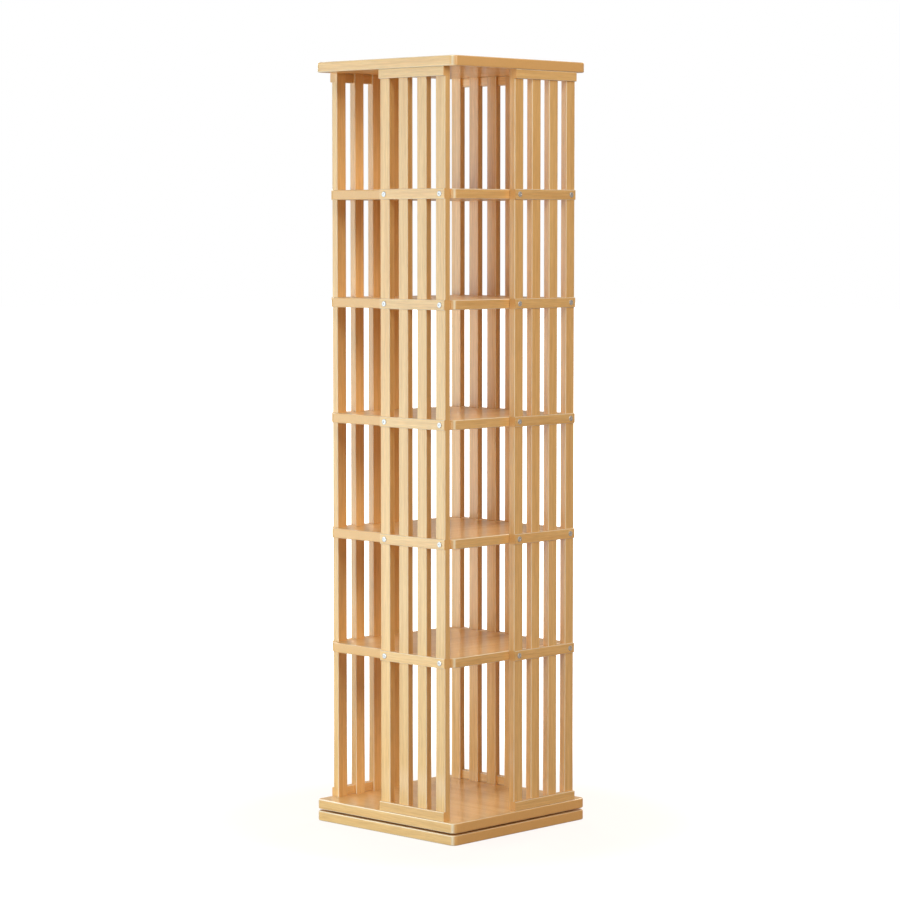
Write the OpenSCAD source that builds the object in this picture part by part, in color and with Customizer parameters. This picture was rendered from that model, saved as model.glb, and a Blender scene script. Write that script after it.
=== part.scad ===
// Revolving bookcase: a slatted rack of shelves that turns on a square base board.
// The rack has one slatted panel on each of its four sides, set round the corners in turn,
// so that each side is half open. All sizes are in millimetres and +Z is up.

/* [Shelves] */
// Side of each square shelf
shelf_side = 408; // [360:1:460]
// Thickness of each shelf
shelf_t = 23; // [21:0.5:27]
// Radius of a shelf's corners
shelf_r = 12; // [6:1:18]
// Clear height of the lowest tier
bottom_tier_h = 357; // [300:1:400]
// Clear height of each of the three middle tiers
middle_tier_h = 253; // [200:1:320]
// Clear height of the fifth tier
fifth_tier_h = 232; // [200:1:320]
// Clear height of the top tier
top_tier_h = 278; // [200:1:320]

/* [Boards] */
// How far the base and bottom boards reach past the slats
board_overhang = 8.4; // [6:0.1:30]
// How much the top board is smaller on each side than the bottom board
top_inset = 2; // [0:0.5:6]
// Radius of the boards' corners
board_r = 15; // [8:1:25]
// Rounding of the boards' and shelves' edges
board_edge = 3; // [1:0.5:5]
// Thickness of the base board
base_t = 24; // [20:0.5:30]
// Open gap between the base board and the bottom board
swivel_gap = 4.5; // [4:0.1:4.8]
// Thickness of the bottom board
bottom_t = 23.5; // [22:0.5:30]
// Thickness of the top board
top_t = 24; // [20:0.5:30]

/* [Panels] */
// Width of a slat
slat_w = 30; // [22:1:34]
// Thickness of a slat
slat_t = 17.5; // [17:0.5:20]
// Distance from one slat to the next, middle to middle
slat_pitch = 60; // [50:1:64]
// Rounding of the slats', rails' and crossbars' long edges
slat_edge = 2; // [0.5:0.5:3]
// How far a shelf's corner reaches past the end of a panel
corner_show = 10; // [4:1:30]
// How far the fourth panel sits back from its corner, as it does on the real rack
fourth_panel_shift = 15; // [0:1:20]
// Height of the crossbars that the shelves are bolted to
crossbar_h = 24; // [20:0.5:26]
// Thickness of a crossbar
crossbar_t = 16; // [14:0.5:17]
// How far a crossbar stands proud of the slats
crossbar_proud = 2.5; // [1:0.5:4]
// Height of the rails at the top and the foot of a panel
rail_h = 22; // [18:1:28]
// Thickness of a rail
rail_t = 15.5; // [13:0.5:16]
// How far a rail stands proud of the slats
rail_proud = 5; // [3:0.5:6]

/* [Fixings] */
// Clearance in a glued or bolted joint
fit_gap = 0.1; // [0.05:0.05:0.2]
// Radius of the bolts' shanks
bolt_r = 3; // [2.5:0.25:4]
// Length of a bolt under its head
bolt_len = 45; // [40:1:60]
// Radius of the bolts' low heads
bolt_head_r = 6.3; // [5:0.1:7]
// Height of the bolts' heads
bolt_head_h = 1.8; // [1.5:0.1:3]
// Width across the flats of the hexagon socket in a bolt's head
bolt_socket = 4; // [3:0.5:5]
// Outer radius of the threaded inserts in the shelves' edges
insert_r = 5; // [4.5:0.1:6]
// Length of a threaded insert
insert_len = 15; // [10:1:18]
// How far an insert lies under the shelf's edge
insert_sink = 1; // [0.5:0.5:3]
// Radius of the dowels between the rails and the boards
dowel_r = 4; // [3:0.5:5]
// Length of a dowel
dowel_len = 24; // [20:1:28]

/* [Swivel] */
// Radius of the two bearing plates
plate_r = 160; // [155:1:170]
// Thickness of a bearing plate
plate_t = 2.25; // [2:0.25:3]
// Radius of the circle that the balls run on
race_r = 140; // [120:1:145]
// Radius of a ball
ball_r = 2.75; // [2.7:0.05:2.9]
// Number of balls
ball_n = 32; // [16:1:40]
// Clearance between a ball and its groove or its cage
ball_clear = 0.15; // [0.1:0.01:0.2]
// Thickness of the flat ring that spaces the balls
cage_t = 1.6; // [1:0.1:2]
// Width of the flat ring that spaces the balls
cage_w = 20; // [14:1:26]
// Radius of the hollow rivet that the upper plate turns on
pivot_r = 8; // [6:0.5:9]
// Running clearance between the rivet and the upper plate
pivot_clear = 0.05; // [0.03:0.01:0.1]
// How far the rivet's lip reaches past its shank
pivot_lip = 2; // [1:0.5:3]
// Thickness of the rivet's lip
pivot_lip_t = 1.2; // [1:0.1:2]
// Radius of the plate screws' shanks
screw_r = 2; // [1.5:0.1:2.5]
// Length of a plate screw
screw_len = 16; // [12:1:18]
// Radius of the circle that the plate screws lie on
screw_circle_r = 70; // [50:1:90]
// Radius of the hole through which the upper screws are driven
access_r = 7; // [6:0.5:9]

/* [Hidden] */
$fn = 64;
wood_light = [0.91, 0.80, 0.62];
wood_mid = [0.86, 0.71, 0.49];
wood_warm = [0.80, 0.62, 0.39];
steel = [0.78, 0.79, 0.80];
zinc = [0.72, 0.70, 0.62];
bearing_steel = [0.62, 0.63, 0.65];

side_n = 4;
slat_n = 4;
shelf_n = 5;
sides = [0:side_n - 1];
slats = [0:slat_n - 1];
ends = [0, slat_n - 1];
side_letters = ["a", "b", "c", "d"];
eps = 0.5;

// Plan: the slats bear on the shelves' edges and the boards reach past the slats
slat_in_y = shelf_side / 2 + fit_gap;
slat_out_y = slat_in_y + slat_t;
board_side = 2 * (slat_out_y + board_overhang);
top_side = board_side - 2 * top_inset;
panel_w = (slat_n - 1) * slat_pitch + slat_w;
panel_end = shelf_side / 2 - corner_show;
crossbar_out_y = slat_out_y + crossbar_proud;
crossbar_in_y = crossbar_out_y - crossbar_t;
rail_out_y = slat_out_y + rail_proud;
rail_in_y = rail_out_y - rail_t;

// Heights: base board, swivel gap, bottom board, five shelves, top board
bottom_z = base_t + swivel_gap;
deck_z = bottom_z + bottom_t;
tier_h = [bottom_tier_h, middle_tier_h, middle_tier_h, middle_tier_h, fifth_tier_h, top_tier_h];
function tiers_below(n) = n == 0 ? 0 : tier_h[n - 1] + tiers_below(n - 1);
function shelf_z(n) = deck_z + tiers_below(n + 1) + n * shelf_t;
function shelf_mid(n) = shelf_z(n) + shelf_t / 2;
top_z = deck_z + tiers_below(shelf_n + 1) + shelf_n * shelf_t;
slat_z = deck_z + fit_gap;
slat_len = top_z - deck_z - 2 * fit_gap;

// Swivel: each plate lies flush in a pocket of its board
pocket_clear = 0.3;
pocket_depth = plate_t + fit_gap;
pocket_r = plate_r + pocket_clear;
mid_z = base_t + swivel_gap / 2;
groove_r = ball_r + ball_clear;
groove_fn = 128;
lip_clear = 0.4;
lip_pocket_clear = 2;
hole_spare = 1;
lip_z = bottom_z + plate_t + lip_clear;
lip_pocket_r = pivot_r + pivot_lip + lip_pocket_clear;
lip_pocket_depth = plate_t + lip_clear + pivot_lip_t + hole_spare;
screw_head_r = 2 * screw_r;
screw_head_h = 2;
screw_pilot = screw_len + hole_spare;

// Bolts: through the crossbar and the slat into an insert in the shelf's edge
bolt_clear = 3 * fit_gap;
bolt_hole_r = bolt_r + bolt_clear;
bolt_tip_gap = 3;
socket_floor = 0.5;
socket_depth = bolt_head_h - socket_floor;
dowel_in_board = dowel_len / 2 + hole_spare;
dowel_hole_r = dowel_r + fit_gap;
dowel_mid_y = (rail_out_y + rail_in_y) / 2;

function slat_x(i) = panel_end - slat_w / 2 - i * slat_pitch;
function dowel_x(i) = slat_x(i) - slat_pitch / 2;
dowel_gaps = [0, slat_n - 2];
function shift_of(k) = k == side_n - 1 ? -fourth_panel_shift : 0;

function slat_name(k, i) = str("panel_", side_letters[k], "_slat_", i + 1);
function crossbar_name(k, n) = str("panel_", side_letters[k], "_crossbar_", n + 1);
function top_rail_name(k) = str("panel_", side_letters[k], "_top_rail");
function foot_rail_name(k) = str("panel_", side_letters[k], "_foot_rail");
function shelf_name(n) = str("shelf_", n + 1);

// Turns a panel that is drawn on the -Y side round to its own side of the rack
module on_side(k) {
    rotate([0, 0, 90 * k])
        translate([shift_of(k), 0, 0])
        children();
}

// Rectangle with round corners, centred
module rounded_rect(w, h, r) {
    square([w - 2 * r, h], center = true);
    square([w, h - 2 * r], center = true);
    for (x = [-1, 1], y = [-1, 1])
        translate([x * (w / 2 - r), y * (h / 2 - r)])
        circle(r);
}

// Square board with round corners and rounded edges, its underside at z = 0
module board(side, t, r, edge) {
    for (a = [0, 90])
        rotate([90, 0, a])
        linear_extrude(side - 2 * r, center = true)
        translate([0, t / 2])
        rounded_rect(side, t, edge);
    for (a = [0:90:270])
        rotate([0, 0, a])
        translate([side / 2 - r, side / 2 - r, 0])
        rotate_extrude(angle = 90)
        intersection() {
            translate([0, t / 2])
            rounded_rect(2 * r, t, edge);
            square([r, t]);
        }
}

// Straight bar along X with rounded long edges, its back face at y = 0 and its middle at z = 0
module bar_x(length, t, h) {
    translate([-length / 2, -t / 2, 0])
        rotate([90, 0, 90])
        linear_extrude(length)
        rounded_rect(t, h, slat_edge);
}

module at_bolts(k) {
    on_side(k)
        for (i = ends, n = [0:shelf_n - 1])
            translate([slat_x(i), -crossbar_out_y, shelf_mid(n)])
            rotate([-90, 0, 0])
            children();
}

module at_bolts_of_shelf(n) {
    for (k = sides)
        on_side(k)
        for (i = ends)
            translate([slat_x(i), -shelf_side / 2, shelf_mid(n)])
            rotate([-90, 0, 0])
            children();
}

// Dowel places of one board, at the height of the joint
module at_dowels(z) {
    for (k = sides)
        on_side(k)
        for (i = dowel_gaps)
            translate([dowel_x(i), -dowel_mid_y, z])
            children();
}

module at_lower_screws() {
    for (a = [0:90:270])
        rotate([0, 0, a])
        translate([screw_circle_r, 0, base_t])
        children();
}

module at_upper_screws() {
    for (a = [45:90:315])
        rotate([0, 0, a])
        translate([screw_circle_r, 0, bottom_z])
        mirror([0, 0, 1])
        children();
}

module access_hole() {
    rotate([0, 0, 45])
        translate([screw_circle_r, 0, -eps])
        cylinder(r = access_r, h = base_t + 2 * eps);
}

// Countersunk screw hole, sinking from z = 0
module screw_hole(gap) {
    translate([0, 0, -screw_head_h])
        cylinder(r1 = screw_r + gap, r2 = screw_head_r + gap, h = screw_head_h);
    cylinder(r = screw_head_r + gap, h = eps);
    translate([0, 0, -screw_pilot])
        cylinder(r = screw_r + gap, h = screw_pilot);
}

module base_board() {
    color(wood_mid)
    difference() {
        board(board_side, base_t, board_r, board_edge);
        translate([0, 0, base_t - pocket_depth])
            cylinder(r = pocket_r, h = pocket_depth + eps);
        at_lower_screws()
            translate([0, 0, -screw_pilot])
            cylinder(r = screw_r + fit_gap, h = screw_pilot);
        access_hole();
    }
}

module bottom_board() {
    color(wood_mid)
    difference() {
        translate([0, 0, bottom_z])
            board(board_side, bottom_t, board_r, board_edge);
        translate([0, 0, bottom_z - eps])
            cylinder(r = pocket_r, h = pocket_depth + eps);
        translate([0, 0, bottom_z])
            cylinder(r = lip_pocket_r, h = lip_pocket_depth);
        at_upper_screws()
            translate([0, 0, -screw_pilot])
            cylinder(r = screw_r + fit_gap, h = screw_pilot);
        at_dowels(deck_z - dowel_in_board)
            cylinder(r = dowel_hole_r, h = dowel_in_board + eps);
    }
}

module top_board() {
    color(wood_mid)
    difference() {
        translate([0, 0, top_z])
            board(top_side, top_t, board_r, board_edge);
        at_dowels(top_z - eps)
            cylinder(r = dowel_hole_r, h = dowel_in_board + eps);
    }
}

module shelf(n) {
    color(wood_light)
    difference() {
        translate([0, 0, shelf_z(n)])
            board(shelf_side, shelf_t, shelf_r, board_edge);
        at_bolts_of_shelf(n) {
            translate([0, 0, -eps])
                cylinder(r = insert_r + fit_gap, h = eps + insert_sink + insert_len + fit_gap);
            cylinder(r = bolt_hole_r, h = bolt_len - (crossbar_out_y - shelf_side / 2) + bolt_tip_gap);
        }
    }
}

module slat(k, i) {
    color(wood_light)
    on_side(k)
    difference() {
        translate([slat_x(i), -(slat_in_y + slat_out_y) / 2, slat_z])
            linear_extrude(slat_len)
            rounded_rect(slat_w, slat_t, slat_edge);
        for (n = [0:shelf_n - 1])
            housing(i, crossbar_in_y, shelf_mid(n) - crossbar_h / 2, crossbar_h);
        housing(i, rail_in_y, deck_z - eps, rail_h + eps);
        housing(i, rail_in_y, top_z - rail_h, rail_h + eps);
        if (i == 0 || i == slat_n - 1)
            for (n = [0:shelf_n - 1])
                translate([slat_x(i), -crossbar_out_y, shelf_mid(n)])
                rotate([-90, 0, 0])
                cylinder(r = bolt_hole_r, h = crossbar_out_y);
    }
}

// Square notch across a slat's outer side, for a bar whose back face is at in_y
module housing(i, in_y, z, h) {
    translate([slat_x(i) - slat_w / 2 - eps, -slat_out_y - eps, z - fit_gap])
        cube([slat_w + 2 * eps, slat_out_y - in_y + eps + fit_gap, h + 2 * fit_gap]);
}

module crossbar(k, n) {
    color(wood_light)
    on_side(k)
    difference() {
        translate([panel_end - panel_w / 2, -crossbar_in_y, shelf_mid(n)])
            bar_x(panel_w, crossbar_t, crossbar_h);
        for (i = ends)
            translate([slat_x(i), -crossbar_out_y - eps, shelf_mid(n)])
            rotate([-90, 0, 0])
            cylinder(r = bolt_hole_r, h = crossbar_t + 2 * eps);
    }
}

module rail(k, z, dowel_z) {
    color(wood_light)
    on_side(k)
    difference() {
        translate([panel_end - panel_w / 2, -rail_in_y, z + rail_h / 2])
            bar_x(panel_w, rail_t, rail_h - 2 * fit_gap);
        for (i = dowel_gaps)
            translate([dowel_x(i), -dowel_mid_y, dowel_z])
            cylinder(r = dowel_hole_r, h = dowel_in_board + eps);
    }
}

module top_rail(k) {
    rail(k, top_z - rail_h, top_z - dowel_in_board);
}

module foot_rail(k) {
    rail(k, deck_z, deck_z - eps);
}

module shelf_bolts() {
    color(steel)
    for (k = sides)
        at_bolts(k)
        difference() {
            union() {
                cylinder(r = bolt_r, h = bolt_len);
                translate([0, 0, -fit_gap - bolt_head_h / 2])
                    cylinder(r = bolt_head_r, h = bolt_head_h / 2);
                translate([0, 0, -fit_gap - bolt_head_h])
                    cylinder(r1 = bolt_head_r - bolt_head_h / 2, r2 = bolt_head_r, h = bolt_head_h / 2);
                translate([0, 0, -fit_gap])
                    cylinder(r = bolt_r, h = fit_gap);
            }
            translate([0, 0, -fit_gap - bolt_head_h - eps])
                cylinder(d = bolt_socket / cos(30), h = socket_depth + eps, $fn = 6);
        }
}

module threaded_inserts() {
    color(zinc)
    for (n = [0:shelf_n - 1])
        at_bolts_of_shelf(n)
        translate([0, 0, insert_sink])
        difference() {
            cylinder(r = insert_r, h = insert_len);
            translate([0, 0, -eps])
                cylinder(r = bolt_r + fit_gap, h = insert_len + 2 * eps);
        }
}

module rail_dowels() {
    color(wood_warm)
    for (z = [deck_z, top_z])
        at_dowels(z - dowel_len / 2)
        cylinder(r = dowel_r, h = dowel_len);
}

// Ring groove that the balls run in, centred on z = 0
module ball_groove() {
    rotate_extrude($fn = groove_fn)
        translate([race_r, 0])
        circle(groove_r);
}

module swivel_lower_plate() {
    color(bearing_steel)
    difference() {
        union() {
            translate([0, 0, base_t - plate_t])
                cylinder(r = plate_r, h = plate_t);
            translate([0, 0, base_t - plate_t])
                cylinder(r = pivot_r, h = lip_z + pivot_lip_t - base_t + plate_t);
            translate([0, 0, lip_z])
                cylinder(r = pivot_r + pivot_lip, h = pivot_lip_t);
        }
        translate([0, 0, base_t - plate_t - eps])
            cylinder(r = pivot_r / 2, h = lip_z + pivot_lip_t - base_t + plate_t + 2 * eps);
        translate([0, 0, mid_z])
            ball_groove();
        at_lower_screws()
            screw_hole(fit_gap);
        access_hole();
    }
}

module swivel_upper_plate() {
    color(bearing_steel)
    difference() {
        translate([0, 0, bottom_z])
            cylinder(r = plate_r, h = plate_t);
        translate([0, 0, bottom_z - eps])
            cylinder(r = pivot_r + pivot_clear, h = plate_t + 2 * eps);
        translate([0, 0, mid_z])
            ball_groove();
        at_upper_screws()
            screw_hole(fit_gap);
    }
}

module ball_ring() {
    color(steel)
    for (i = [0:ball_n - 1])
        rotate([0, 0, 360 * i / ball_n])
        translate([race_r, 0, mid_z])
        sphere(ball_r);
    color(zinc)
    translate([0, 0, mid_z - cage_t / 2])
        difference() {
            cylinder(r = race_r + cage_w / 2, h = cage_t);
            translate([0, 0, -eps])
                cylinder(r = race_r - cage_w / 2, h = cage_t + 2 * eps);
            for (i = [0:ball_n - 1])
                rotate([0, 0, 360 * i / ball_n])
                translate([race_r, 0, -eps])
                cylinder(r = ball_r + ball_clear, h = cage_t + 2 * eps);
        }
}

module plate_screw() {
    difference() {
        union() {
            translate([0, 0, -screw_head_h])
                cylinder(r1 = screw_r, r2 = screw_head_r, h = screw_head_h);
            translate([0, 0, -screw_len])
                cylinder(r = screw_r, h = screw_len);
        }
        for (a = [0, 90])
            rotate([0, 0, a])
            translate([-screw_r, -screw_r / 4, -screw_head_h / 2])
            cube([2 * screw_r, screw_r / 2, screw_head_h]);
    }
}

module lower_plate_screws() {
    color(steel)
    at_lower_screws()
        plate_screw();
}

module upper_plate_screws() {
    color(steel)
    at_upper_screws()
        plate_screw();
}

base_board();
bottom_board();
top_board();
for (n = [0:shelf_n - 1])
    shelf(n);
for (k = sides) {
    for (i = slats)
        slat(k, i);
    for (n = [0:shelf_n - 1])
        crossbar(k, n);
    top_rail(k);
    foot_rail(k);
}
shelf_bolts();
threaded_inserts();
rail_dowels();
swivel_lower_plate();
swivel_upper_plate();
ball_ring();
lower_plate_screws();
upper_plate_screws();
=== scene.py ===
import math
import bmesh
import bpy
from mathutils import Matrix, Quaternion, Vector


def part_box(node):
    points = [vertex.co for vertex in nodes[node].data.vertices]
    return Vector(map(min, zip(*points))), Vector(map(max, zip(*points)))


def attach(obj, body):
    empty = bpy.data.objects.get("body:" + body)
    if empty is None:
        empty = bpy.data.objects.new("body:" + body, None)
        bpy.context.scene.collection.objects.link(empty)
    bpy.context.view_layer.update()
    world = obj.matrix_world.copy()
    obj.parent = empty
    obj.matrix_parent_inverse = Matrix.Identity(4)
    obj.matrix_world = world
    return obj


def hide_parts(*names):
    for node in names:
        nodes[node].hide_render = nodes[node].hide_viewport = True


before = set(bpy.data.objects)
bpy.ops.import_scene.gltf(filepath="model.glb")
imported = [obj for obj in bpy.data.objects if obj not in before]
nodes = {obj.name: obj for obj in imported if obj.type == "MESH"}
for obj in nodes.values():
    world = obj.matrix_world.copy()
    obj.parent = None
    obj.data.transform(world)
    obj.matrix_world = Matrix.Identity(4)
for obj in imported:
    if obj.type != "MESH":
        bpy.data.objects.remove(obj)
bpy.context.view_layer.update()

# Base board: a square slab of glued pale hardwood that lies on the floor and never turns.
# Its corners are rounded, its edges sanded round, and the lower bearing plate is let into
# a shallow round pocket in its top, with one hole through which a driver reaches the screws.
SCENE = bpy.context.scene
QUARTER_TURN = math.radians(90)
MIX_FACTOR = 0
MIX_A = 6
MIX_B = 7
MIX_RESULT = 2


def add(tree, kind, inputs=None, **settings):
    """One node of a tree, with its settings and the values or links of its inputs."""
    node = tree.nodes.new(kind)
    for key, value in settings.items():
        setattr(node, key, value)
    for key, value in (inputs or {}).items():
        if isinstance(value, bpy.types.NodeSocket):
            tree.links.new(value, node.inputs[key])
        else:
            node.inputs[key].default_value = value
    return node


def math_node(tree, operation, a, b=0.0, c=0.0, clamp=False):
    """Output of a Math node on two or three values or links."""
    inputs = {0: a, 1: b, 2: c}
    return add(tree, "ShaderNodeMath", inputs, operation=operation, use_clamp=clamp).outputs[0]


def vector_node(tree, operation, a, b=(0.0, 0.0, 0.0)):
    """Vector output of a Vector Math node on one or two values or links."""
    return add(tree, "ShaderNodeVectorMath", {0: a, 1: b}, operation=operation).outputs["Vector"]


def mix_colours(tree, factor, a, b, blend="MIX"):
    """Output of a colour Mix node; plain colours come as three numbers."""
    a, b = (c if isinstance(c, bpy.types.NodeSocket) else (*c, 1.0) for c in (a, b))
    inputs = {MIX_FACTOR: factor, MIX_A: a, MIX_B: b}
    mixed = add(tree, "ShaderNodeMix", inputs, data_type="RGBA", blend_type=blend)
    return mixed.outputs[MIX_RESULT]


def stretched_noise(tree, place, along, across, detail, distortion=0.0):
    """Noise drawn out along the grain: along and across are its spots to the metre."""
    drawn = vector_node(tree, "MULTIPLY", place, (along, across, across))
    inputs = {"Vector": drawn, "Scale": 1.0, "Detail": detail, "Distortion": distortion}
    return add(tree, "ShaderNodeTexNoise", inputs).outputs[0]


def ramp(tree, value, low, high):
    """Smooth step of a value from 0 at low to 1 at high."""
    inputs = {"Value": value, "From Min": low, "From Max": high}
    return add(tree, "ShaderNodeMapRange", inputs, interpolation_type="SMOOTHSTEP").outputs[0]


def sum_parts(tree, start, *parts):
    """A first value, with each part added to it times its weight."""
    total = start
    for value, weight in parts:
        total = math_node(tree, "MULTIPLY_ADD", value, weight, total)
    return total


def new_sockets(tree, way, kinds):
    """Gives a node group its inputs or its outputs, by name and kind of socket."""
    for name, kind in kinds.items():
        tree.interface.new_socket(name, in_out=way, socket_type="NodeSocket" + kind)


# What each layer of the grain adds to the depth of colour, the tone, the roughness and the height.
STAVE_SHIFT = (9.0, 3.0, 3.0)
NOISE_MIDDLE = 0.5
BAND_DEPTH = 0.40
STREAK_DEPTH = 0.42
CLOUD_DEPTH = 0.18
RING_DEPTH = 0.45
FIBRE_TONE = 0.42
PORE_TONE = 0.16
# A highlight painted on the rounded edges: its least strength, and how much the clouds add to it.
EDGE_HIGHLIGHT_LEAST = 0.5
EDGE_HIGHLIGHT_CLOUD = 0.6
FIBRE_ROUGHNESS = 0.10
PORE_ROUGHNESS = 0.15
END_ROUGHNESS = 0.15
CLOUD_ROUGHNESS = 0.08
STREAK_HEIGHT = 0.30
FIBRE_HEIGHT = 0.35
PORE_HEIGHT = 0.60


def grain_group():
    """Straight grain under lacquer, with X along the fibres, and a painted highlight on rounded
    edges: colour, roughness and height.
    """
    tree = bpy.data.node_groups.new("straight_grain", "ShaderNodeTree")
    new_sockets(tree, "INPUT", {
        "Place": "Vector", "Normal": "Vector", "Stave Width": "Float", "Stave Depth": "Float",
        "Stave Contrast": "Float", "Least Roughness": "Float", "Pale": "Color", "Deep": "Color",
        "End Grain": "Color", "Edge Highlight": "Color"})
    new_sockets(tree, "OUTPUT", {"Colour": "Color", "Roughness": "Float", "Height": "Float"})
    given = tree.nodes.new("NodeGroupInput").outputs
    result = tree.nodes.new("NodeGroupOutput").inputs

    # Each stave or slat is a cell with a tone and a stretch of the pattern of its own.
    cell = add(tree, "ShaderNodeSeparateXYZ", {0: given["Place"]}).outputs
    cell_y = math_node(tree, "FLOOR", math_node(tree, "DIVIDE", cell[1], given["Stave Width"]))
    cell_z = math_node(tree, "FLOOR", math_node(tree, "DIVIDE", cell[2], given["Stave Depth"]))
    stave = add(tree, "ShaderNodeCombineXYZ", {1: cell_y, 2: cell_z}).outputs[0]
    chance = add(tree, "ShaderNodeTexWhiteNoise", {"Vector": stave}, noise_dimensions="3D").outputs
    shift = vector_node(tree, "MULTIPLY", chance["Color"], STAVE_SHIFT)
    place = vector_node(tree, "ADD", given["Place"], shift)

    # The figure: broad bands, streaks, fine fibres, short pores and soft clouds.
    bands = stretched_noise(tree, place, along=0.9, across=40.0, detail=3.0, distortion=0.5)
    bands = ramp(tree, bands, low=0.36, high=0.66)
    streaks = stretched_noise(tree, place, along=6.0, across=210.0, detail=4.0, distortion=0.2)
    streaks = ramp(tree, streaks, low=0.34, high=0.68)
    fibres = stretched_noise(tree, place, along=28.0, across=520.0, detail=3.0)
    pores = stretched_noise(tree, place, along=45.0, across=1500.0, detail=2.0)
    pores = ramp(tree, pores, low=0.64, high=0.74)
    clouds = stretched_noise(tree, place, along=2.5, across=6.0, detail=2.0)
    depth = sum_parts(tree, 0.0, (streaks, STREAK_DEPTH), (bands, BAND_DEPTH),
                      (clouds, CLOUD_DEPTH))
    colour = mix_colours(tree, depth, given["Pale"], given["Deep"])

    # The tone: each stave's own, then paler and darker fibres, then the dark pores.
    own = math_node(tree, "SUBTRACT", chance["Value"], NOISE_MIDDLE)
    fine = math_node(tree, "SUBTRACT", fibres, NOISE_MIDDLE)
    tone = sum_parts(tree, 1.0, (own, given["Stave Contrast"]), (fine, FIBRE_TONE),
                     (pores, -PORE_TONE))
    tone = add(tree, "ShaderNodeCombineColor", {0: tone, 1: tone, 2: tone}).outputs[0]
    colour = mix_colours(tree, 1.0, colour, tone, "MULTIPLY")

    # Cut ends face along the fibres and show deeper rings.
    facing = vector_node(tree, "ABSOLUTE", given["Normal"])
    facing = add(tree, "ShaderNodeSeparateXYZ", {0: facing}).outputs
    end = ramp(tree, facing[0], low=0.55, high=0.90)
    rings = stretched_noise(tree, place, along=1.0, across=260.0, detail=4.0, distortion=0.8)
    rings = math_node(tree, "MULTIPLY", ramp(tree, rings, low=0.30, high=0.75), RING_DEPTH)
    end_colour = mix_colours(tree, rings, given["End Grain"], given["Deep"])
    colour = mix_colours(tree, end, colour, end_colour)

    # Rounded edges face no axis squarely; there a paler colour is painted in as a highlight, as
    # where light catches a rounded edge, stronger in places after the clouds.
    squarest = math_node(tree, "MAXIMUM", facing[0], facing[1])
    squarest = math_node(tree, "MAXIMUM", squarest, facing[2])
    painted_highlight = ramp(tree, squarest, low=0.99, high=0.85)
    painted_highlight = math_node(tree, "MULTIPLY", painted_highlight, math_node(tree, "SUBTRACT", 1.0, end))
    highlight_strength = math_node(tree, "MULTIPLY_ADD", clouds, EDGE_HIGHLIGHT_CLOUD, EDGE_HIGHLIGHT_LEAST)
    painted_highlight = math_node(tree, "MULTIPLY", painted_highlight, highlight_strength, clamp=True)
    tree.links.new(mix_colours(tree, painted_highlight, colour, given["Edge Highlight"]), result["Colour"])

    rough = sum_parts(tree, given["Least Roughness"], (fibres, FIBRE_ROUGHNESS),
                      (pores, PORE_ROUGHNESS), (end, END_ROUGHNESS), (clouds, CLOUD_ROUGHNESS))
    tree.links.new(rough, result["Roughness"])
    height = sum_parts(tree, 0.0, (streaks, STREAK_HEIGHT), (fibres, FIBRE_HEIGHT),
                       (pores, -PORE_HEIGHT))
    tree.links.new(height, result["Height"])
    return tree


def new_material(name):
    """A material with its node tree, its shader's inputs and its texture coordinates."""
    material = bpy.data.materials.new(name)
    material.use_nodes = True
    tree = material.node_tree
    coords = tree.nodes.new("ShaderNodeTexCoord").outputs
    return material, tree, tree.nodes["Principled BSDF"].inputs, coords


GRAIN = grain_group()
WOOD_PALE = (0.925, 0.590, 0.240)
WOOD_DEEP = (0.775, 0.425, 0.140)
WOOD_END = (0.850, 0.480, 0.170)
# Colour of the highlight painted on rounded edges, where light would catch them.
WOOD_EDGE_HIGHLIGHT = (1.000, 0.880, 0.660)
WOOD_ROUGHNESS = 0.30
WOOD_BUMP = 0.25
WOOD_BUMP_DEPTH = 0.0003
LACQUER = 0.60
LACQUER_ROUGHNESS = 0.14
ALONG_X = (0.0, 0.0, 0.0)
ALONG_Y = (0.0, 0.0, QUARTER_TURN)
ALONG_Z = (0.0, QUARTER_TURN, 0.0)
ONE_CELL = 1.0


def wood(name, turn, stave, contrast, shift=(0.0, 0.0, 0.0), pale=WOOD_PALE, deep=WOOD_DEEP,
         rough=WOOD_ROUGHNESS):
    """Lacquered wood whose grain runs along the piece's own X once it is turned by turn.

    Tone changes by contrast from stave to stave, and stave is the width and depth of one."""
    material, tree, shader, coords = new_material(name)
    turned = {"Vector": coords["Object"], "Rotation": turn, "Location": shift}
    place = add(tree, "ShaderNodeMapping", turned).outputs[0]
    turned = {"Vector": coords["Normal"], "Rotation": turn}
    normal = add(tree, "ShaderNodeMapping", turned, vector_type="NORMAL").outputs[0]
    grain = add(tree, "ShaderNodeGroup", node_tree=GRAIN, inputs={
        "Place": place, "Normal": normal, "Stave Width": stave[0], "Stave Depth": stave[1],
        "Stave Contrast": contrast, "Least Roughness": rough, "Pale": (*pale, 1.0),
        "Deep": (*deep, 1.0), "End Grain": (*WOOD_END, 1.0), "Edge Highlight": (*WOOD_EDGE_HIGHLIGHT, 1.0)}).outputs
    bumps = {"Height": grain["Height"], "Strength": WOOD_BUMP, "Distance": WOOD_BUMP_DEPTH}
    tree.links.new(grain["Colour"], shader["Base Color"])
    tree.links.new(grain["Roughness"], shader["Roughness"])
    tree.links.new(add(tree, "ShaderNodeBump", bumps).outputs[0], shader["Normal"])
    shader["Coat Weight"].default_value = LACQUER
    shader["Coat Roughness"].default_value = LACQUER_ROUGHNESS
    return material


def settle(piece, body, stands_for):
    """Rides a piece on its body, in the place of the CAD nodes, which are hidden."""
    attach(piece, body)
    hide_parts(*stands_for)


def mesh_from(bm, name):
    """Puts what was modelled into a new mesh."""
    mesh = bpy.data.meshes.new(name)
    bm.to_mesh(mesh)
    bm.free()
    return mesh


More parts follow.
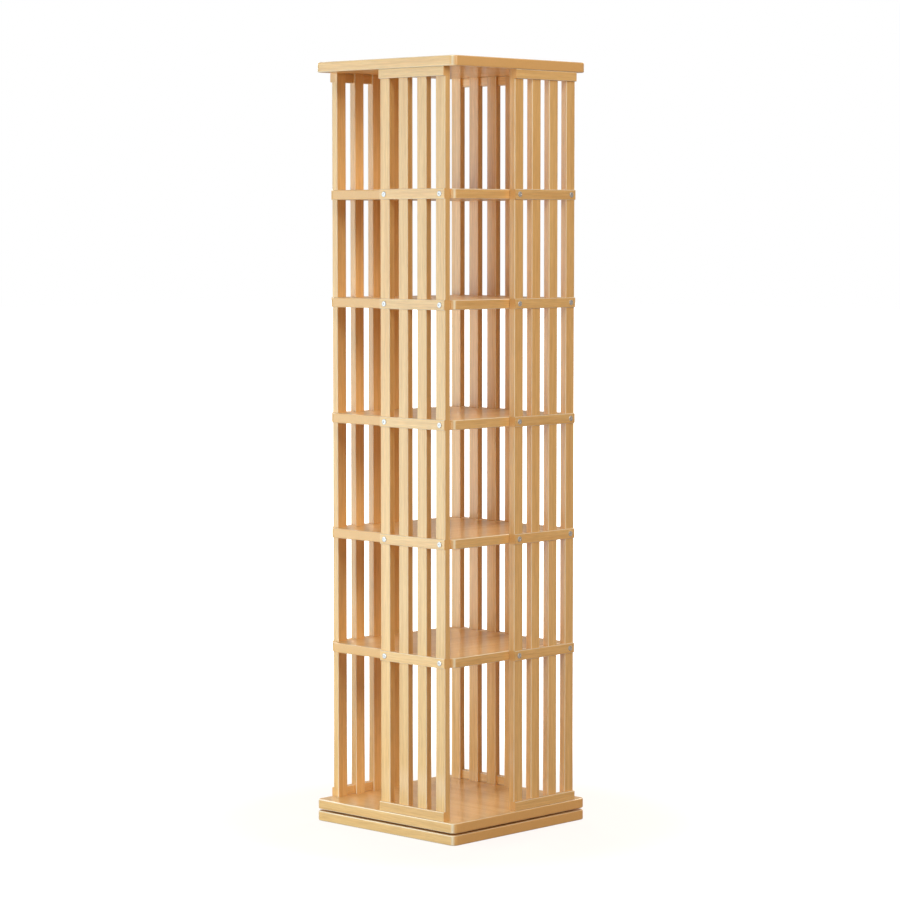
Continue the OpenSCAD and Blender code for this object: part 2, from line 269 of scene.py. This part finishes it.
def stand(name, data):
    """Stands a mesh, lamp or camera in the scene under a name."""
    thing = bpy.data.objects.new(name, data)
    SCENE.collection.objects.link(thing)
    return thing


CORNER_STEPS = 10
EDGE_STEPS = 4
EDGE_PROFILE = 0.5


def board_outline(bm, low, high, corner):
    """Flat square face with round corners at the height of low."""
    points = []
    centres = ((high.x - corner, high.y - corner), (low.x + corner, high.y - corner),
               (low.x + corner, low.y + corner), (high.x - corner, low.y + corner))
    for quarter, (x, y) in enumerate(centres):
        for step in range(CORNER_STEPS + 1):
            angle = QUARTER_TURN * (quarter + step / CORNER_STEPS)
            spot = (x + corner * math.cos(angle), y + corner * math.sin(angle), low.z)
            points.append(bm.verts.new(spot))
    return bm.faces.new(points)


def board(name, low, high, corner, edge, material):
    """Square board with round corners and edges sanded round."""
    bm = bmesh.new()
    flat = board_outline(bm, low, high, corner)
    raised = bmesh.ops.extrude_face_region(bm, geom=[flat])["geom"]
    upper = [part for part in raised if isinstance(part, bmesh.types.BMVert)]
    bmesh.ops.translate(bm, vec=(0, 0, high.z - low.z), verts=upper)
    rims = [e for e in bm.edges if abs(e.verts[0].co.z - e.verts[1].co.z) < edge]
    bmesh.ops.bevel(bm, geom=rims, offset=edge, segments=EDGE_STEPS, profile=EDGE_PROFILE,
                    affect="EDGES")
    bmesh.ops.recalc_face_normals(bm, faces=bm.faces)
    mesh = mesh_from(bm, name)
    mesh.materials.append(material)
    return stand(name, mesh)


def make_plain(piece):
    """Puts the result of a piece's modifiers in the place of its mesh."""
    bpy.context.view_layer.update()
    finished = piece.evaluated_get(bpy.context.evaluated_depsgraph_get())
    result = bpy.data.meshes.new_from_object(finished)
    piece.modifiers.clear()
    old = piece.data
    piece.data = result
    bpy.data.meshes.remove(old)


SHARP_ANGLE = math.radians(35)


def even_shading(piece):
    """Lets the large flat faces set the shading, so that the rounded edges blend into them."""
    piece.data.shade_smooth()
    piece.data.set_sharp_from_angle(angle=SHARP_ANGLE)
    piece.modifiers.new("even_shading", "WEIGHTED_NORMAL").keep_sharp = True
    make_plain(piece)


def cut_round(piece, centre, radius, low, high, steps):
    """Cuts an upright round pocket or hole out of a piece."""
    bm = bmesh.new()
    depth = high - low
    middle = Matrix.Translation((centre.x, centre.y, low + depth / 2))
    bmesh.ops.create_cone(bm, cap_ends=True, segments=steps, radius1=radius, radius2=radius,
                          depth=depth, matrix=middle)
    mesh = mesh_from(bm, "cutter")
    cutter = stand("cutter", mesh)
    modifier = piece.modifiers.new("pocket", "BOOLEAN")
    modifier.operation = "DIFFERENCE"
    modifier.solver = "EXACT"
    modifier.object = cutter
    make_plain(piece)
    bpy.data.objects.remove(cutter)
    bpy.data.meshes.remove(mesh)


BOARD_CORNER = 0.015
BOARD_EDGE = 0.003
BOARD_STAVE = 0.052
STAVE_CONTRAST = 0.08
AXIS = Vector((0, 0, 0))
POCKET_GAP = 0.0003
POCKET_STEPS = 96
GLUE_GAP = 0.0001
CUT_PAST = 0.001
ACCESS_RADIUS = 0.007
ACCESS_STEPS = 32
ACCESS_REACH = 0.07
ACCESS_TURN = math.radians(45)
access_x = ACCESS_REACH * math.cos(ACCESS_TURN)
access_y = ACCESS_REACH * math.sin(ACCESS_TURN)
access = Vector((access_x, access_y, 0.0))
board_wood = wood("board_wood", ALONG_X, (BOARD_STAVE, ONE_CELL), STAVE_CONTRAST)
low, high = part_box("base_board")
plate_low, plate_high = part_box("swivel_lower_plate")
pocket_radius = (plate_high.x - plate_low.x) / 2 + POCKET_GAP
base_board = board("base_board_lacquered", low, high, BOARD_CORNER, BOARD_EDGE, board_wood)
cut_round(base_board, AXIS, pocket_radius, plate_low.z - GLUE_GAP, high.z + CUT_PAST, POCKET_STEPS)
cut_round(base_board, access, ACCESS_RADIUS, low.z - CUT_PAST, high.z + CUT_PAST, ACCESS_STEPS)
even_shading(base_board)
settle(base_board, "base", ["base_board"])

# Swivel: two zinc-plated steel plates with a ring groove each, a flat cage of steel balls
# between them and a hollow rivet through the middle, held by countersunk screws. It fills
# the gap between the base board and the bottom board, so only its shade is seen.
METAL_GRAIN = 400.0
METAL_DETAIL = 4.0
METAL_SPREAD = 0.16
METAL_SHADE = 0.86
METAL_BUMP = 0.15
METAL_BUMP_DEPTH = 0.0001


def metal(name, colour, rough, metallic=1.0):
    """Plain metal with a faint brushed or cast unevenness."""
    material, tree, shader, coords = new_material(name)
    inputs = {"Vector": coords["Object"], "Scale": METAL_GRAIN, "Detail": METAL_DETAIL}
    noise = add(tree, "ShaderNodeTexNoise", inputs).outputs[0]
    darker = tuple(METAL_SHADE * part for part in colour)
    gloss = sum_parts(tree, rough - METAL_SPREAD / 2, (noise, METAL_SPREAD))
    bumps = {"Height": noise, "Strength": METAL_BUMP, "Distance": METAL_BUMP_DEPTH}
    tree.links.new(mix_colours(tree, noise, darker, colour), shader["Base Color"])
    tree.links.new(gloss, shader["Roughness"])
    tree.links.new(add(tree, "ShaderNodeBump", bumps).outputs[0], shader["Normal"])
    shader["Metallic"].default_value = metallic
    return material


def dress(material, *names):
    """Gives CAD nodes one material."""
    for name in names:
        mesh = nodes[name].data
        mesh.materials.clear()
        mesh.materials.append(material)


plate_steel = metal("plate_steel", colour=(0.62, 0.63, 0.65), rough=0.38)
ball_steel = metal("ball_steel", colour=(0.76, 0.77, 0.79), rough=0.16)
screw_steel = metal("screw_steel", colour=(0.66, 0.65, 0.60), rough=0.30)
dress(plate_steel, "swivel_lower_plate", "swivel_upper_plate")
dress(ball_steel, "ball_ring")
dress(screw_steel, "lower_plate_screws", "upper_plate_screws")

# Bottom board: the floor of the rack, the same slab as the base board, with a narrow line
# of shadow between them. The upper bearing plate is let into its underside, and a smaller
# pocket takes the rivet's lip. Its lacquer shows soft reflections of the slats.
LIP_RADIUS = 0.012
LIP_DEPTH = 0.00485
LIP_STEPS = 48
low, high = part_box("bottom_board")
plate_low, plate_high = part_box("swivel_upper_plate")
start = low.z - CUT_PAST
bottom_board = board("bottom_board_lacquered", low, high, BOARD_CORNER, BOARD_EDGE, board_wood)
cut_round(bottom_board, AXIS, pocket_radius, start, plate_high.z + GLUE_GAP, POCKET_STEPS)
cut_round(bottom_board, AXIS, LIP_RADIUS, start, low.z + LIP_DEPTH, LIP_STEPS)
even_shading(bottom_board)
settle(bottom_board, "rack", ["bottom_board"])

# Panels: four upright slats, let into a rail at the head and foot and five crossbars.
# Slats are straight-grained uprights; rails and crossbars run level, and their cut ends
# show as orange end grain at the sides of each panel. Each slat has a tone of its own.
PANELS = "abcd"
SLATS = 4
CROSSBARS = 5
SLAT_PITCH = 0.060
BAR_CELL = 0.138
BAR_CELL_SHIFT = 0.060
SLAT_CONTRAST = 0.10
for index, panel in enumerate(PANELS):
    runs_x = index % 2 == 0
    first_low, first_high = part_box(f"panel_{panel}_slat_1")
    middle = (first_low + first_high) / 2
    # The pattern is moved so that each slat lies in the middle of one tone cell.
    if runs_x:
        along, cell = ALONG_X, (ONE_CELL, SLAT_PITCH)
        shift = (0.0, 0.0, middle.x + SLAT_PITCH / 2)
    else:
        along, cell = ALONG_Y, (SLAT_PITCH, ONE_CELL)
        shift = (0.0, SLAT_PITCH / 2 - middle.y, 0.0)
    slat_wood = wood(f"slat_wood_{panel}", ALONG_Z, cell, SLAT_CONTRAST, shift)
    bar_wood = wood(f"crossbar_wood_{panel}", along, (ONE_CELL, BAR_CELL), SLAT_CONTRAST,
                    (0.0, 0.0, BAR_CELL_SHIFT))
    for number in range(1, SLATS + 1):
        dress(slat_wood, f"panel_{panel}_slat_{number}")
    for number in range(1, CROSSBARS + 1):
        dress(bar_wood, f"panel_{panel}_crossbar_{number}")
    dress(bar_wood, f"panel_{panel}_top_rail", f"panel_{panel}_foot_rail")

# Shelves: plain squares of the same glued board with round corners, held between the
# panels by bolts into their edges, so their corners show past the ends of the panels.
SHELVES = 5
SHELF_CORNER = 0.012
SHELF_EDGE = 0.0025
SHELF_STAVE = 0.048
SHELF_CELL = 0.27
shelf_wood = wood("shelf_wood", ALONG_Y, (SHELF_STAVE, SHELF_CELL), STAVE_CONTRAST)
for number in range(1, SHELVES + 1):
    node = f"shelf_{number}"
    low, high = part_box(node)
    shelf = board(node + "_lacquered", low, high, SHELF_CORNER, SHELF_EDGE, shelf_wood)
    even_shading(shelf)
    settle(shelf, "rack", [node])

# Top board: a plain square slab of the same glued hardwood as the base board, a little
# smaller all round. It is dowelled to the panels' top rails, closes the rack and turns
# with it.
low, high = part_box("top_board")
top_board = board("top_board_lacquered", low, high, BOARD_CORNER, BOARD_EDGE, board_wood)
even_shading(top_board)
settle(top_board, "rack", ["top_board"])

# Fixings in the wood: threaded zinc inserts in the shelves' edges and beech dowels
# between the rails and the boards. They are out of sight in the put-together rack.
BEECH_PALE = (0.62, 0.42, 0.22)
BEECH_DEEP = (0.50, 0.31, 0.15)
BEECH_ROUGHNESS = 0.5
BEECH_STAVE = 0.055
BEECH_CONTRAST = 0.07
insert_zinc = metal("insert_zinc", colour=(0.70, 0.68, 0.60), rough=0.42)
dowel_wood = wood("dowel_wood", ALONG_Z, (BEECH_STAVE, ONE_CELL), BEECH_CONTRAST,
                  pale=BEECH_PALE, deep=BEECH_DEEP, rough=BEECH_ROUGHNESS)
dress(insert_zinc, "threaded_inserts")
dress(dowel_wood, "rail_dowels")

# Bolts: low nickel-plated furniture bolts with a hexagon socket, two in each crossbar.
# The head is a shallow dome with a rounded rim; one bolt is made and set at every place.
HEAD_RADIUS = 0.0063
HEAD_HEIGHT = 0.0018
HEAD_SEAT = 0.0001
DOME_RISE = 0.0003
DOME_REACH = 0.0012
RIM_ROUND = 0.0008
RIM_STEPS = 4
SOCKET_RADIUS = 0.0023
SOCKET_DEPTH = 0.0013
SOCKET_MOUTH = 0.0003
MOUTH_DROP = 0.00005
SHANK_RADIUS = 0.003
SHANK_LENGTH = 0.045
SHANK_POINT = 0.0005
TURN_STEPS = 48
FULL_TURN = math.radians(360)
SIXTH_TURN = math.radians(60)
MERGE_REACH = 1e-6


def hexagon(angle, radius):
    """Distance from the middle to the side of a hexagon of that corner radius, at an angle."""
    half = SIXTH_TURN / 2
    return radius * math.cos(half) / math.cos(angle % SIXTH_TURN - half)


def bolt_profile():
    """Rings of a bolt from its socket to its tip: radius, height and whether it is a hexagon."""
    top = HEAD_SEAT + HEAD_HEIGHT
    rings = [(0.0, top - SOCKET_DEPTH, True),
             (SOCKET_RADIUS, top - SOCKET_DEPTH, True),
             (SOCKET_RADIUS, top - SOCKET_MOUTH, True),
             (SOCKET_RADIUS + SOCKET_MOUTH, top - MOUTH_DROP, False),
             (SOCKET_RADIUS + DOME_REACH, top, False)]
    for step in range(RIM_STEPS + 1):
        angle = QUARTER_TURN * step / RIM_STEPS
        inwards = RIM_ROUND * (1 - math.sin(angle))
        down = RIM_ROUND * (1 - math.cos(angle))
        rings.append((HEAD_RADIUS - inwards, top - DOME_RISE - down, False))
    return rings + [(HEAD_RADIUS, HEAD_SEAT, False),
                    (SHANK_RADIUS, HEAD_SEAT, False),
                    (SHANK_RADIUS, SHANK_POINT - SHANK_LENGTH, False),
                    (SHANK_RADIUS - SHANK_POINT, -SHANK_LENGTH, False),
                    (0.0, -SHANK_LENGTH, False)]


def bolt_mesh():
    """One bolt along +Z, its head's underside at z = 0 and its head towards +Z."""
    bm = bmesh.new()
    rows = []
    for radius, z, is_hexagon in bolt_profile():
        row = []
        for step in range(TURN_STEPS):
            angle = FULL_TURN * step / TURN_STEPS
            reach = hexagon(angle, radius) if is_hexagon else radius
            row.append(bm.verts.new((reach * math.cos(angle), reach * math.sin(angle), z)))
        rows.append(row)
    for inner, outer in zip(rows, rows[1:]):
        for step in range(TURN_STEPS):
            after = (step + 1) % TURN_STEPS
            bm.faces.new((inner[step], inner[after], outer[after], outer[step]))
    bmesh.ops.remove_doubles(bm, verts=bm.verts, dist=MERGE_REACH)
    bmesh.ops.recalc_face_normals(bm, faces=bm.faces)
    mesh = mesh_from(bm, "bolt")
    mesh.shade_smooth()
    mesh.set_sharp_from_angle(angle=SHARP_ANGLE)
    return mesh


def bolt_tree():
    """Sets a bolt at each point of a mesh, turned to the point's own facing direction."""
    tree = bpy.data.node_groups.new("set_bolts", "GeometryNodeTree")
    new_sockets(tree, "INPUT", {"Places": "Geometry", "Bolt": "Object", "Plating": "Material"})
    new_sockets(tree, "OUTPUT", {"Bolts": "Geometry"})
    given = tree.nodes.new("NodeGroupInput").outputs
    result = tree.nodes.new("NodeGroupOutput").inputs
    bolt = add(tree, "GeometryNodeObjectInfo", {"Object": given["Bolt"]}).outputs["Geometry"]
    read = "GeometryNodeInputNamedAttribute"
    facing = add(tree, read, {"Name": "facing"}, data_type="FLOAT_VECTOR").outputs[0]
    twist = add(tree, read, {"Name": "twist"}, data_type="FLOAT").outputs[0]
    upright = add(tree, "FunctionNodeAlignRotationToVector", {"Vector": facing}, axis="Z")
    spin = add(tree, "FunctionNodeAxisAngleToRotation", {"Axis": (0.0, 0.0, 1.0), "Angle": twist})
    turns = {"Rotation": upright.outputs[0], "Rotate By": spin.outputs[0]}
    turned = add(tree, "FunctionNodeRotateRotation", turns, rotation_space="LOCAL").outputs[0]
    setting = {"Points": given["Places"], "Instance": bolt, "Rotation": turned}
    placed = add(tree, "GeometryNodeInstanceOnPoints", setting).outputs[0]
    real = add(tree, "GeometryNodeRealizeInstances", {"Geometry": placed}).outputs[0]
    plated = {"Geometry": real, "Material": given["Plating"]}
    plated = add(tree, "GeometryNodeSetMaterial", plated).outputs[0]
    tree.links.new(plated, result["Bolts"])
    return tree


# Each socket stands at another angle than the last, as in bolts driven by hand.
TWIST_STEP = 2.4
bolt_nickel = metal("bolt_nickel", colour=(0.63, 0.62, 0.62), rough=0.28, metallic=0.55)
places = []
facings = []
for index, panel in enumerate(PANELS):
    outward = Quaternion((0, 0, 1), math.radians(90 * index)) @ Vector((0, -1, 0))
    for row in range(1, CROSSBARS + 1):
        bar_low, bar_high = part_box(f"panel_{panel}_crossbar_{row}")
        for number in (1, SLATS):
            slat_low, slat_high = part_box(f"panel_{panel}_slat_{number}")
            spot = (slat_low + slat_high) / 2
            spot.z = (bar_low.z + bar_high.z) / 2
            # Across the panel, the bolt's seat is the crossbar's outer face.
            for axis in range(2):
                side = round(outward[axis])
                if side:
                    spot[axis] = bar_high[axis] if side > 0 else bar_low[axis]
            places.append(spot)
            facings.extend(outward)
twists = [TWIST_STEP * number for number in range(len(places))]
bolt = bpy.data.objects.new("bolt", bolt_mesh())
place_mesh = bpy.data.meshes.new("bolt_places")
place_mesh.from_pydata(places, [], [])
facing = place_mesh.attributes.new("facing", "FLOAT_VECTOR", "POINT")
facing.data.foreach_set("vector", facings)
twist = place_mesh.attributes.new("twist", "FLOAT", "POINT")
twist.data.foreach_set("value", twists)
bolts = stand("panel_bolts_nickel", place_mesh)
setter = bolts.modifiers.new("set_bolts", "NODES")
setter.node_group = bolt_tree()
sockets = {item.name: item.identifier for item in setter.node_group.interface.items_tree}
setter[sockets["Bolt"]] = bolt
setter[sockets["Plating"]] = bolt_nickel
make_plain(bolts)
bpy.data.objects.remove(bolt)
settle(bolts, "rack", ["shelf_bolts"])

# Floor and sky: a matt floor and an open studio that the camera sees as white. Reflections
# see a part of that white. The floor keeps a part of the object's shadow.
WHITE = (1.0, 1.0, 1.0, 1.0)
FLOOR_ROUGHNESS = 0.9
FLOOR_GLOSS = 0.1


def seen_straight(tree, seen):
    """1 for what the camera sees, straight or through glass, and 0 for every other ray."""
    return math_node(tree, "MAXIMUM", seen["Is Camera Ray"], seen["Is Transmission Ray"])


def mix_shaders(tree, factor, first, second, end):
    """Mixes two shaders into the end of a tree."""
    mixed = add(tree, "ShaderNodeMixShader", {0: factor, 1: first, 2: second})
    tree.links.new(mixed.outputs[0], tree.nodes[end].inputs["Surface"])


def shadow_floor(name, colour, near, far, held, glow, sheen):
    """Matt floor that looks white, and keeps a share of its shadow, held, out to near.

    From near to far its shadow fades out. Reflections see a share of the white, sheen."""
    material, tree, shader, coords = new_material(name)
    shader["Base Color"].default_value = (*colour, 1.0)
    shader["Roughness"].default_value = FLOOR_ROUGHNESS
    shader["Specular IOR Level"].default_value = FLOOR_GLOSS
    seen = tree.nodes.new("ShaderNodeLightPath").outputs
    reach = add(tree, "ShaderNodeVectorMath", {0: coords["Object"]}, operation="LENGTH")
    faded = ramp(tree, reach.outputs["Value"], near, far)
    white = sum_parts(tree, 1.0 - held, (faded, held))
    shown = sum_parts(tree, seen_straight(tree, seen), (seen["Is Glossy Ray"], sheen))
    white = math_node(tree, "MULTIPLY", white, shown, clamp=True)
    shine = add(tree, "ShaderNodeEmission", {"Color": WHITE, "Strength": glow}).outputs[0]
    matt = tree.nodes["Principled BSDF"].outputs[0]
    mix_shaders(tree, white, matt, shine, "Material Output")
    return material


FLOOR_REACH = 40.0
FLOOR_DROP = 0.0002
floor_pale = shadow_floor("floor_pale", colour=(0.34, 0.25, 0.17), near=0.45, far=1.50, held=0.60,
                          glow=2.15, sheen=0.12)
bm = bmesh.new()
bmesh.ops.create_grid(bm, x_segments=1, y_segments=1, size=FLOOR_REACH)
floor = stand("floor", mesh_from(bm, "floor"))
floor.data.materials.append(floor_pale)
floor.location.z = -FLOOR_DROP

SKY_COLOUR = (1.0, 0.90, 0.78, 1.0)
SKY_LIGHT = 0.05
SKY_SHEEN = 0.32
world = bpy.data.worlds.new("studio")
SCENE.world = world
world.use_nodes = True
tree = world.node_tree
seen = tree.nodes.new("ShaderNodeLightPath").outputs
sky = tree.nodes["Background"]
sky.inputs["Color"].default_value = SKY_COLOUR
strength = sum_parts(tree, SKY_LIGHT, (seen["Is Glossy Ray"], SKY_SHEEN))
tree.links.new(strength, sky.inputs["Strength"])
white = add(tree, "ShaderNodeBackground", {"Color": WHITE, "Strength": 1.0}).outputs[0]
mix_shaders(tree, seen_straight(tree, seen), sky.outputs[0], white, "World Output")

# Lamps: a tall window, a key and three low lights stand on the picture's left, a warm fill
# on its right, one high up in front, one overhead and two behind.
MIDDLE = (0.0, 0.0, 0.9)


def turn_to(thing, place, aim):
    """Stands a lamp or the camera at a place and turns it to a point."""
    thing.location = place
    thing.rotation_mode = "QUATERNION"
    thing.rotation_quaternion = (Vector(aim) - Vector(place)).to_track_quat("-Z", "Y")


def softbox(name, place, aim, size, power, colour):
    """Oblong soft light at a place, aimed at a point and hidden from the camera."""
    lamp = bpy.data.lights.new(name, "AREA")
    lamp.shape = "RECTANGLE"
    lamp.size, lamp.size_y = size
    lamp.energy = power
    lamp.color = colour
    light = stand(name, lamp)
    turn_to(light, place, aim)
    light.visible_camera = False


softbox("window", place=(-1.9, -2.3, 1.08), aim=(0.0, -0.1, 0.95), size=(2.0, 2.04), power=38.0,
        colour=(0.81, 0.98, 1.08))
softbox("key", place=(0.5, -5.0, 1.0), aim=(0.0, 0.0, 0.5), size=(2.8, 1.8), power=52.0,
        colour=(0.86, 0.98, 0.97))
softbox("low", place=(-0.4, -1.9, 0.28), aim=(0.0, -0.2, 0.15), size=(0.9, 0.5), power=4.5,
        colour=(0.84, 1.0, 1.04))
softbox("bounce", place=(-1.3, -1.35, 0.01), aim=(-1.3, -1.25, 3.0), size=(1.8, 1.8), power=12.0,
        colour=(0.80, 1.0, 1.10))
softbox("toe", place=(-0.05, -0.62, 0.03), aim=(-0.05, 0.0, 0.02), size=(0.7, 0.05), power=0.35,
        colour=(0.82, 1.0, 1.18))
softbox("fill", place=(6.1, -0.2, 3.3), aim=(0.0, 0.0, 1.1), size=(2.4, 3.0), power=160.0,
        colour=(1.0, 0.92, 0.82))
softbox("high", place=(2.4, -2.5, 4.4), aim=(0.0, 0.0, 0.8), size=(1.6, 1.6), power=64.0,
        colour=(0.95, 0.97, 0.93))
softbox("top", place=(0.0, 0.0, 4.8), aim=MIDDLE, size=(1.6, 1.6), power=40.0,
        colour=(1.0, 0.98, 0.94))
softbox("rim", place=(-0.8, 5.0, 3.2), aim=MIDDLE, size=(2.0, 2.0), power=130.0,
        colour=(1.0, 0.94, 0.84))
softbox("back", place=(-4.6, 2.4, 3.0), aim=MIDDLE, size=(2.0, 2.0), power=90.0,
        colour=(1.0, 0.93, 0.84))

# Camera: it stands where the photograph was taken, about chest-high and well back from
# the object, so that the uprights stay nearly parallel.
CAMERA_PLACE = (5.007, -5.2185, 1.416)
CAMERA_AIM = (-0.001, -0.002, 0.895)
CAMERA_LENS = 121.1
CAMERA_SENSOR = 36.0
camera_data = bpy.data.cameras.new("camera")
camera_data.sensor_width = CAMERA_SENSOR
camera_data.lens = CAMERA_LENS
camera = stand("camera", camera_data)
turn_to(camera, CAMERA_PLACE, CAMERA_AIM)
SCENE.camera = camera
SCENE.view_settings.view_transform = "Standard"
